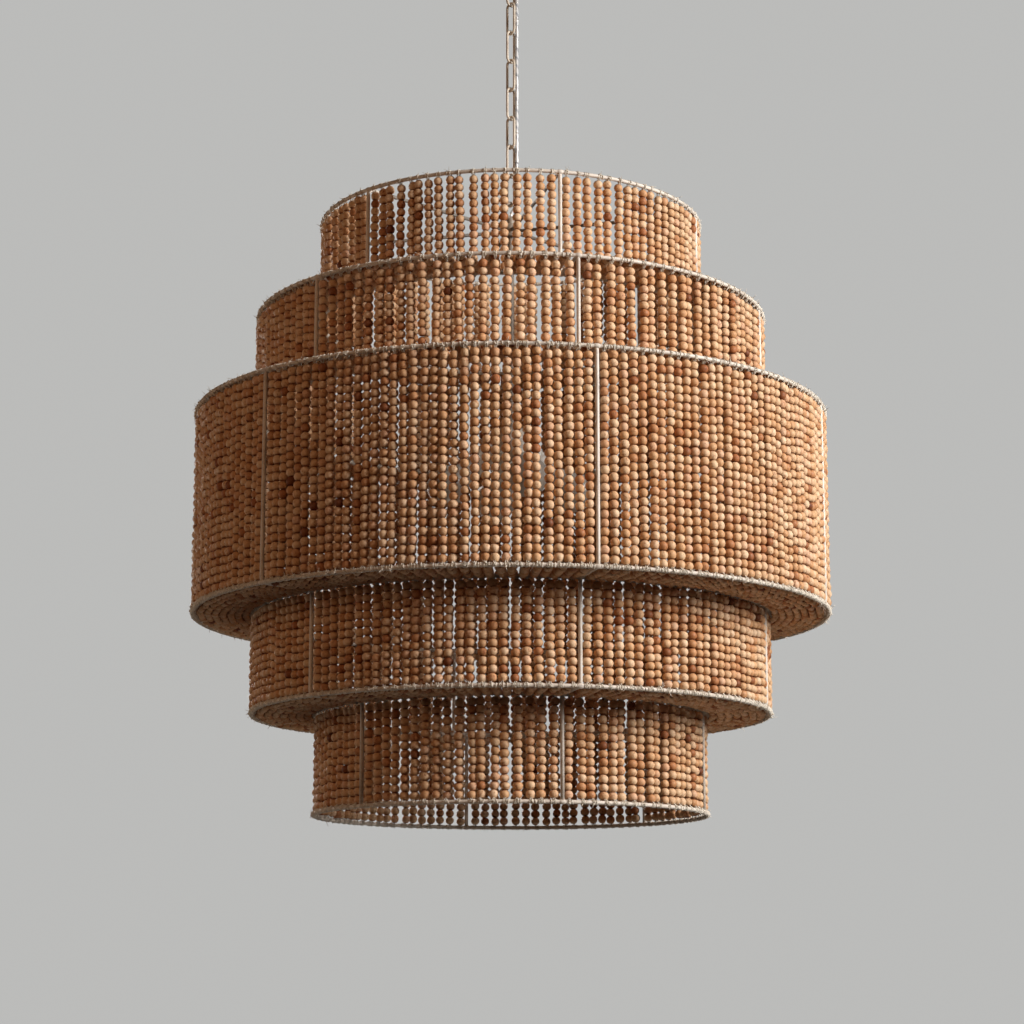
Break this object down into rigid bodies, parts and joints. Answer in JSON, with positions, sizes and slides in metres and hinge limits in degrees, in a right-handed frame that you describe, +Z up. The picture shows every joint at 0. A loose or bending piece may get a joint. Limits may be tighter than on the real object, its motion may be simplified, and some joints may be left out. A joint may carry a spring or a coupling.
{
  "type": "beaded chandelier",
  "caption": "Tiered drum chandelier of wooden bead strands laced to a painted wire frame, hung on an oval-link chain from a ceiling canopy, with a bulb cluster inside.",
  "frame": {"origin": "centre of the top face of the ceiling bar, in the plane of the ceiling", "axes": "+Z up along the chain; the picture looks along +Y from below, and +X is to its right"},
  "size_m": [0.927, 0.927, 1.334],
  "materials": {
    "frame_paint": "matt cream paint over steel rod",
    "ceiling_steel": "zinc plated",
    "bead_wood": "light hardwood beads, thin satin varnish",
    "cord_jacket": "smooth clear-white jacket",
    "porcelain": "white, satin glaze",
    "bulb_glass": "frosted",
    "lacing_cord": "waxed cotton lacing"
  },
  "bodies": {
    "ceiling_mount": {"ceiling_bar": "ceiling_steel", "ceiling_canopy": "frame_paint", "canopy_loop": "frame_paint", "terminal_block": "porcelain", "canopy_cord": "cord_jacket"},
    "collar": {"canopy_collar": "frame_paint"},
    "link_1": {"chain_link_1": "frame_paint", "link_cord_1": "cord_jacket"},
    "link_2": {"chain_link_2": "frame_paint", "link_cord_2": "cord_jacket"},
    "link_3": {"chain_link_3": "frame_paint", "link_cord_3": "cord_jacket"},
    "link_4": {"chain_link_4": "frame_paint", "link_cord_4": "cord_jacket"},
    "link_5": {"chain_link_5": "frame_paint", "link_cord_5": "cord_jacket"},
    "link_6": {"chain_link_6": "frame_paint", "link_cord_6": "cord_jacket"},
    "link_7": {"chain_link_7": "frame_paint", "link_cord_7": "cord_jacket"},
    "link_8": {"chain_link_8": "frame_paint", "link_cord_8": "cord_jacket"},
    "fixture": {"fixture_loop": "frame_paint", "top_hub": "frame_paint", "fixture_cord": "cord_jacket", "stem": "frame_paint", "socket_cluster": "frame_paint", "rib_1": "frame_paint", "rib_2": "frame_paint", "rib_3": "frame_paint", "rib_4": "frame_paint", "rib_5": "frame_paint", "rib_6": "frame_paint", "tier_1_top_ring": "frame_paint", "tier_1_bottom_ring": "frame_paint", "tier_1_beads": "bead_wood", "tier_2_top_ring": "frame_paint", "tier_2_bottom_ring": "frame_paint", "tier_2_beads": "bead_wood", "tier_3_top_ring": "frame_paint", "tier_3_bottom_ring": "frame_paint", "tier_3_beads": "bead_wood", "tier_4_top_ring": "frame_paint", "tier_4_bottom_ring": "frame_paint", "tier_4_beads": "bead_wood", "tier_5_top_ring": "frame_paint", "tier_5_bottom_ring": "frame_paint", "tier_5_beads": "bead_wood", "step_1_beads": "bead_wood", "step_2_beads": "bead_wood", "step_3_beads": "bead_wood", "step_4_beads": "bead_wood", "lamp_socket_1": "porcelain", "bulb_1": "bulb_glass", "lamp_socket_2": "porcelain", "bulb_2": "bulb_glass", "lamp_socket_3": "porcelain", "bulb_3": "bulb_glass", "lamp_socket_4": "porcelain", "bulb_4": "bulb_glass"}
  },
  "joints": [
    {"name": "canopy_collar_turn", "type": "hinge", "parent": "ceiling_mount", "child": "collar", "pos_m": [0, 0, -0.0296], "axis": [0, 0, 1], "continuous": true},
    {"name": "link_1_swing", "type": "hinge", "parent": "ceiling_mount", "child": "link_1", "pos_m": [0, 0, -0.0618], "axis": [0.7071, -0.7071, 0], "range_deg": [-15, 15]},
    {"name": "link_2_swing", "type": "hinge", "parent": "link_1", "child": "link_2", "pos_m": [0, 0, -0.10665], "axis": [0.7071, 0.7071, 0], "range_deg": [-15, 15]},
    {"name": "link_3_swing", "type": "hinge", "parent": "link_2", "child": "link_3", "pos_m": [0, 0, -0.1521], "axis": [-0.7071, 0.7071, 0], "range_deg": [-15, 15]},
    {"name": "link_4_swing", "type": "hinge", "parent": "link_3", "child": "link_4", "pos_m": [0, 0, -0.19755], "axis": [-0.7071, -0.7071, 0], "range_deg": [-15, 15]},
    {"name": "link_5_swing", "type": "hinge", "parent": "link_4", "child": "link_5", "pos_m": [0, 0, -0.243], "axis": [0.7071, -0.7071, 0], "range_deg": [-15, 15]},
    {"name": "link_6_swing", "type": "hinge", "parent": "link_5", "child": "link_6", "pos_m": [0, 0, -0.28845], "axis": [0.7071, 0.7071, 0], "range_deg": [-15, 15]},
    {"name": "link_7_swing", "type": "hinge", "parent": "link_6", "child": "link_7", "pos_m": [0, 0, -0.3339], "axis": [-0.7071, 0.7071, 0], "range_deg": [-15, 15]},
    {"name": "link_8_swing", "type": "hinge", "parent": "link_7", "child": "link_8", "pos_m": [0, 0, -0.37935], "axis": [-0.7071, -0.7071, 0], "range_deg": [-15, 15]},
    {"name": "fixture_swing", "type": "hinge", "parent": "link_8", "child": "fixture", "pos_m": [0, 0, -0.4248], "axis": [0.7071, -0.7071, 0], "range_deg": [-15, 15]}
  ]
}
